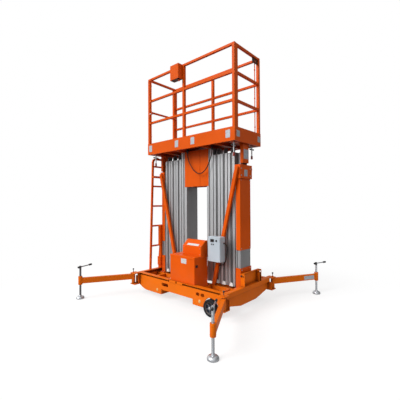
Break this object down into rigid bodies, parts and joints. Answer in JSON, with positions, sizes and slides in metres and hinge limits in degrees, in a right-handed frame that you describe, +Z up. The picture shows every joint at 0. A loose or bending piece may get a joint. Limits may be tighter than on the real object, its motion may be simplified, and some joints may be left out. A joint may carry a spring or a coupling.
{
  "type": "vertical mast lift",
  "caption": "Push-around vertical mast lift: guarded platform on paired telescopic aluminium masts, steel base with swing-out screw-jack outriggers, wheels and ladder.",
  "frame": {"origin": "on the floor under the centre of the base, in the middle of the fork tunnel", "axes": "+X along the base and platform towards the fixed wheels, +Y away from the power unit, +Z up"},
  "size_m": [2.502, 2.5781, 3.18],
  "materials": {
    "paint": "satin orange powder coat",
    "paint_base": "satin yellow-orange powder coat, a little road dirt",
    "grey_paint": "pale grey enamel",
    "mast_aluminium": "natural anodised extrusion",
    "bright_steel": "zinc plated steel",
    "steel": "plain zinc plated steel",
    "black_steel": "black oiled steel",
    "black_plastic": "black moulded plastic",
    "black_rubber": "black cable sheath",
    "grey_tyre": "solid grey rubber tyre"
  },
  "bodies": {
    "chassis": {"base_rims": "paint_base", "base_beams": "paint_base", "fork_tunnel": "paint_base", "base_skirts": "paint_base", "corner_brackets": "paint_base", "wheel_brackets": "steel", "mast_fixed": "mast_aluminium", "mast_feet": "paint", "end_covers": "paint", "top_brackets": "paint", "braces": "paint", "ladder_stiles": "paint", "ladder_rungs": "paint", "ladder_support": "paint", "power_unit": "paint", "control_console": "paint", "control_box": "grey_paint", "control_lead": "black_rubber", "tow_bracket": "paint_base"},
    "stage_1": {"mast_stage_1": "mast_aluminium", "chain_hoist_1": "black_steel"},
    "stage_2": {"mast_stage_2": "mast_aluminium", "chain_hoist_2": "black_steel"},
    "stage_3": {"mast_stage_3": "mast_aluminium", "chain_hoist_3": "black_steel"},
    "platform": {"mast_inner_pair": "mast_aluminium", "carriage_panels": "paint", "carriage_tie": "paint", "end_legs": "paint", "deck_frame": "paint", "platform_floor": "paint", "toe_boards": "paint", "guard_posts": "paint", "top_rails": "paint", "mid_rails": "paint", "entry_fittings": "steel", "platform_clamps": "steel", "platform_control": "paint", "lanyard_plate": "black_plastic", "hanging_cable": "black_rubber", "cable_glands": "black_plastic"},
    "entry_gate": {"entry_bar": "paint"},
    "arm_front_left": {"outrigger_front_left": "paint_base"},
    "screw_jack_front_left": {"jack_front_left": "bright_steel"},
    "arm_front_right": {"outrigger_front_right": "paint_base"},
    "screw_jack_front_right": {"jack_front_right": "bright_steel"},
    "arm_back_left": {"outrigger_back_left": "paint_base"},
    "screw_jack_back_left": {"jack_back_left": "bright_steel"},
    "arm_back_right": {"outrigger_back_right": "paint_base"},
    "screw_jack_back_right": {"jack_back_right": "bright_steel"},
    "fixed_wheel_front": {"wheel_front": "grey_tyre"},
    "castor_front": {"castor_fork_front": "steel"},
    "castor_roller_front": {"castor_wheel_front": "grey_tyre"},
    "fixed_wheel_back": {"wheel_back": "grey_tyre"},
    "castor_back": {"castor_fork_back": "steel"},
    "castor_roller_back": {"castor_wheel_back": "grey_tyre"}
  },
  "joints": [
    {"name": "mast_1", "type": "slide", "parent": "chassis", "child": "stage_1", "axis": [0, 0, 1], "range_m": [0, 1.4]},
    {"name": "mast_2", "type": "slide", "parent": "stage_1", "child": "stage_2", "axis": [0, 0, 1], "range_m": [0, 1.4]},
    {"name": "mast_3", "type": "slide", "parent": "stage_2", "child": "stage_3", "axis": [0, 0, 1], "range_m": [0, 1.4]},
    {"name": "mast_4", "type": "slide", "parent": "stage_3", "child": "platform", "axis": [0, 0, 1], "range_m": [0, 1.4]},
    {"name": "entry_lift", "type": "hinge", "parent": "platform", "child": "entry_gate", "pos_m": [-0.742, 0.234, 2.668], "axis": [-1, 0, 0], "range_deg": [0, 75]},
    {"name": "swing_front_left", "type": "hinge", "parent": "chassis", "child": "arm_front_left", "pos_m": [-0.82, -0.545, 0.22], "axis": [0, 0, 1], "range_deg": [0, 120]},
    {"name": "lift_front_left", "type": "slide", "parent": "arm_front_left", "child": "screw_jack_front_left", "axis": [0, 0, 1], "range_m": [0, 0.1]},
    {"name": "swing_front_right", "type": "hinge", "parent": "chassis", "child": "arm_front_right", "pos_m": [0.82, -0.545, 0.22], "axis": [0, 0, 1], "range_deg": [-120, 0]},
    {"name": "lift_front_right", "type": "slide", "parent": "arm_front_right", "child": "screw_jack_front_right", "axis": [0, 0, 1], "range_m": [0, 0.1]},
    {"name": "swing_back_left", "type": "hinge", "parent": "chassis", "child": "arm_back_left", "pos_m": [-0.82, 0.545, 0.22], "axis": [0, 0, 1], "range_deg": [-120, 0]},
    {"name": "lift_back_left", "type": "slide", "parent": "arm_back_left", "child": "screw_jack_back_left", "axis": [0, 0, 1], "range_m": [0, 0.1]},
    {"name": "swing_back_right", "type": "hinge", "parent": "chassis", "child": "arm_back_right", "pos_m": [0.82, 0.545, 0.22], "axis": [0, 0, 1], "range_deg": [0, 120]},
    {"name": "lift_back_right", "type": "slide", "parent": "arm_back_right", "child": "screw_jack_back_right", "axis": [0, 0, 1], "range_m": [0, 0.1]},
    {"name": "roll_front", "type": "hinge", "parent": "chassis", "child": "fixed_wheel_front", "pos_m": [0.585, -0.482, 0.1], "axis": [0, 1, 0], "continuous": true},
    {"name": "swivel_front", "type": "hinge", "parent": "chassis", "child": "castor_front", "pos_m": [-0.6, -0.3, 0.18], "axis": [0, 0, 1], "continuous": true},
    {"name": "castor_roll_front", "type": "hinge", "parent": "castor_front", "child": "castor_roller_front", "pos_m": [-0.635, -0.3, 0.075], "axis": [0, 1, 0], "continuous": true},
    {"name": "roll_back", "type": "hinge", "parent": "chassis", "child": "fixed_wheel_back", "pos_m": [0.585, 0.482, 0.1], "axis": [0, 1, 0], "continuous": true},
    {"name": "swivel_back", "type": "hinge", "parent": "chassis", "child": "castor_back", "pos_m": [-0.6, 0.3, 0.18], "axis": [0, 0, 1], "continuous": true},
    {"name": "castor_roll_back", "type": "hinge", "parent": "castor_back", "child": "castor_roller_back", "pos_m": [-0.635, 0.3, 0.075], "axis": [0, 1, 0], "continuous": true}
  ],
  "couplings": [
    {"joint": "mast_2", "follows": "mast_1", "ratio": 1},
    {"joint": "mast_3", "follows": "mast_1", "ratio": 1},
    {"joint": "mast_4", "follows": "mast_1", "ratio": 1}
  ]
}
